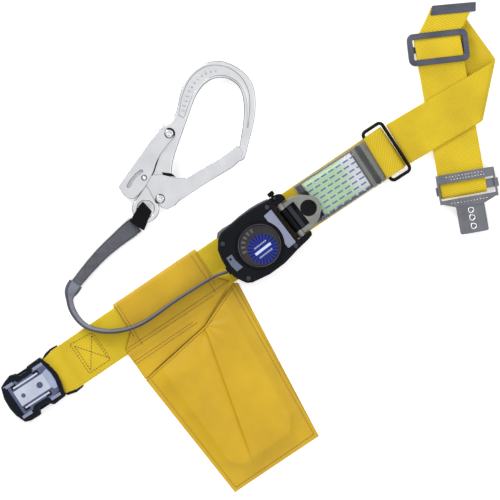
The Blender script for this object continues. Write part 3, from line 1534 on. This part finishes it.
# ---------------------------------------------------------------- hard pieces
@dataclass
class Hardware:
    """Metal and moulded pieces that keep the model's shape and get rounded edges and a finish."""

    fine_edge: float = 0.3
    bodies: dict[str, str] = field(default_factory=dict)

    def body_of(self, node: str) -> str:
        """CAD body of a node."""
        if not self.bodies:
            for body, nodes in frame["record"]["behaviour"]["bodies"].items():
                self.bodies.update({name: body for name in nodes})
        return self.bodies[node]

    def slot_of(self, node: str) -> str:
        """Record's material slot of a node."""
        return next(s["material_slot"] for s in frame["record"]["subparts"] if s["node"] == node)

    def show(self, nodes: Sequence[str], finish: bpy.types.Material, edge: float, segments: int = 2,
             clamp: bool = True) -> None:
        """Show refined copies of CAD nodes.

        Args:
            nodes: their names.
            finish: the material.
            edge: edge radius, mm.
            segments: steps in the edge.
            clamp: keep the radius under the shortest edge's share.
        """
        for node in nodes:
            refined(node, finish, self.body_of(node), self.slot_of(node), edge, segments, clamp)

    def tongue_marks(self) -> None:
        """Plain pressed dashes on the tongue's bars, and raised rims round its dimples."""
        runs = []
        for x, y0, y1 in ((-13.6, -21, 21), (-10.2, -16, 23), (15.2, -20, 22)):
            for k in range(12):
                y = y0 + (y1 - y0) * k / 12
                runs.append([TAIL.point(x, y, 12.6), TAIL.point(x, y + (y1 - y0) / 20, 12.6)])
        stitches("tongue_pressed_marks", runs, "root", pitch=6, length=2.4, width=1.3,
                 finish=Finish.SHEET.material(), slot="plated_sheet")
        for k, x in enumerate((25.2, 33.5, 42.7)):
            z = 9.6
            ring = [(2.0, z - 0.2), (3.7, z - 0.2), (3.5, z + 0.35), (2.9, z + 0.5), (2.3, z + 0.3),
                    (2.0, z - 0.2)]
            to_object(f"tongue_dimple_rim_{k + 1}", lathe(ring, TAIL.point(x, 0.4, z)),
                      Finish.SHEET.material(),
                      "root", "plated_sheet")

    def make(self) -> None:
        """Dress every hard node."""
        self.show(["hook_gate"], Finish.SHEET.material(), 0.7, 2, clamp=False)
        self.show(["lock_lever"], Finish.SHEET.material(), 0.3, 1, clamp=False)
        self.show(["link_bracket"], Finish.CASTING.material(), 0.5)
        self.show(["strap_slider", "strap_tip"], Finish.ZINC.material(), self.fine_edge)
        self.show(["tongue_plate", "tongue_bar"], Finish.TONGUE.material(), self.fine_edge)
        self.show(["back_cover", "exit_guide", "stop_knob", "disc_bezel"], Finish.BLACK.material(), 0.4)
        self.show(["smoke_cover"], Finish.SMOKE.material(), 0.5)
        self.show(["frame_strip"], Finish.GREY_PLATE.material(), 0.25)
        self.show(["frame_corner"], Finish.CORNER_PLATE.material(), 0.25)
        self.show(["buckle_back", "buckle_front"], Finish.BUCKLE.material(), 0.6)
        self.show(["release_button_upper", "release_button_lower"], Finish.BLACK.material(), 0.5)
        self.show(["buckle_latch_plate"], Finish.LATCH.material(), 0.2)
        self.show(["webbing_eye_loop"], Finish.EYE_TAPE.material(), 0.8, 3)
        dress(["lock_pin", "belt_keeper", "bracket_pin", "buckle_bar", "drum_shaft"], Finish.SHEET.material())
        dress(["cover_screws"], Finish.DARK_STEEL.material())
        dress(["gate_spring", "lever_spring", "power_spring", "knob_spring", "button_springs", "ratchet_ring",
               "pawl_1", "pawl_2", "pawl_pins"], Finish.DARK_STEEL.material())
        dress(["webbing_drum", "spring_case", "bracket_roller"], Finish.BLACK.material())
        dress(["belt_ring"], Finish.BLACK_WIRE.material())
        dress(["wound_webbing", "bracket_webbing"], Finish.WOUND.material())
        self.tongue_marks()
        low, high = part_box("label_disc")
        dress(["label_disc"], DiscPrint().make((low + high) / 2, math.radians(REEL.angle)))


# ---------------------------------------------------------------- studio
@dataclass
class Studio:
    """Pale floor, soft light from large panels, and a camera looking straight down."""

    centre: Point = (-0.26, -2.96)     # mm
    distance: float = 4.0              # m
    view_width: float = 0.540          # m across the picture
    sensor: float = 36.0
    dome_strength: float = 0.8

    def panel(self, name: str, at: tuple[float, float, float], size: float, power: float) -> None:
        """Add a square soft light aimed at the set.

        Args:
            name: the light's name.
            at: where it hangs, in metres.
            size: its side, in metres.
            power: in watts.
        """
        light = bpy.data.lights.new(name, "AREA")
        light.size = size
        light.energy = power
        lamp = bpy.data.objects.new(name, light)
        lamp.location = at
        lamp.rotation_euler = (-Vector(at)).to_track_quat("-Z", "Y").to_euler()
        bpy.context.scene.collection.objects.link(lamp)

    def dome(self) -> None:
        """Soft white dome that darkens towards the horizon, so that rounded metal edges read."""
        world = bpy.data.worlds.new("studio")
        bpy.context.scene.world = world
        world.use_nodes = True
        tree = world.node_tree
        place = add(tree, "ShaderNodeTexCoord")
        axes = add(tree, "ShaderNodeSeparateXYZ", {0: place.outputs["Generated"]})
        colour = mixed(tree, maths(tree, "POWER", maths(tree, "MAXIMUM", axes.outputs[2], 0.0), 0.8),
                       "3C3E42", "FFFFFF")
        tree.links.new(colour, tree.nodes["Background"].inputs["Color"])
        tree.nodes["Background"].inputs["Strength"].default_value = self.dome_strength

    def make(self) -> None:
        """Build floor, lights and camera."""
        bm = bmesh.new()
        bmesh.ops.create_grid(bm, x_segments=2, y_segments=2, size=3.0)
        bmesh.ops.translate(bm, verts=bm.verts, vec=(0, 0, -0.0004))
        mesh = bpy.data.meshes.new("floor")
        bm.to_mesh(mesh)
        bm.free()
        material, _, shader = new_material("plain_floor")
        shader.inputs["Base Color"].default_value = linear("FBFBFB")
        shader.inputs["Emission Color"].default_value = linear("FFFFFF")
        shader.inputs["Emission Strength"].default_value = 0.35
        shader.inputs["Roughness"].default_value = 0.9
        mesh.materials.append(material)
        floor = bpy.data.objects.new("floor", mesh)
        bpy.context.scene.collection.objects.link(floor)
        self.panel("key_panel", (-1.1, 1.3, 1.2), 1.0, 26)
        self.panel("fill_panel", (1.2, 0.3, 1.3), 1.4, 8)
        self.panel("low_panel", (0.1, -1.4, 1.2), 1.4, 7)
        self.dome()
        bpy.context.scene.view_settings.view_transform = "Standard"
        camera_data = bpy.data.cameras.new("camera")
        camera_data.sensor_width = self.sensor
        camera_data.lens = self.sensor * self.distance / self.view_width
        camera_data.clip_end = 100.0
        camera = bpy.data.objects.new("camera", camera_data)
        camera.location = (self.centre[0] * MM, self.centre[1] * MM, self.distance)
        bpy.context.scene.collection.objects.link(camera)
        bpy.context.scene.camera = camera


def main() -> None:
    """Build the set piece by piece."""
    logging.basicConfig(level=logging.INFO)
    Studio().make()
    Lanyard().make()
    Belt().make()
    Pouch().make()
    Absorber().make()
    ForgedHook().make()
    Hardware().make()
    ReelTrim().make()
    BuckleTrim().make()


if __name__ == "__main__":
    main()
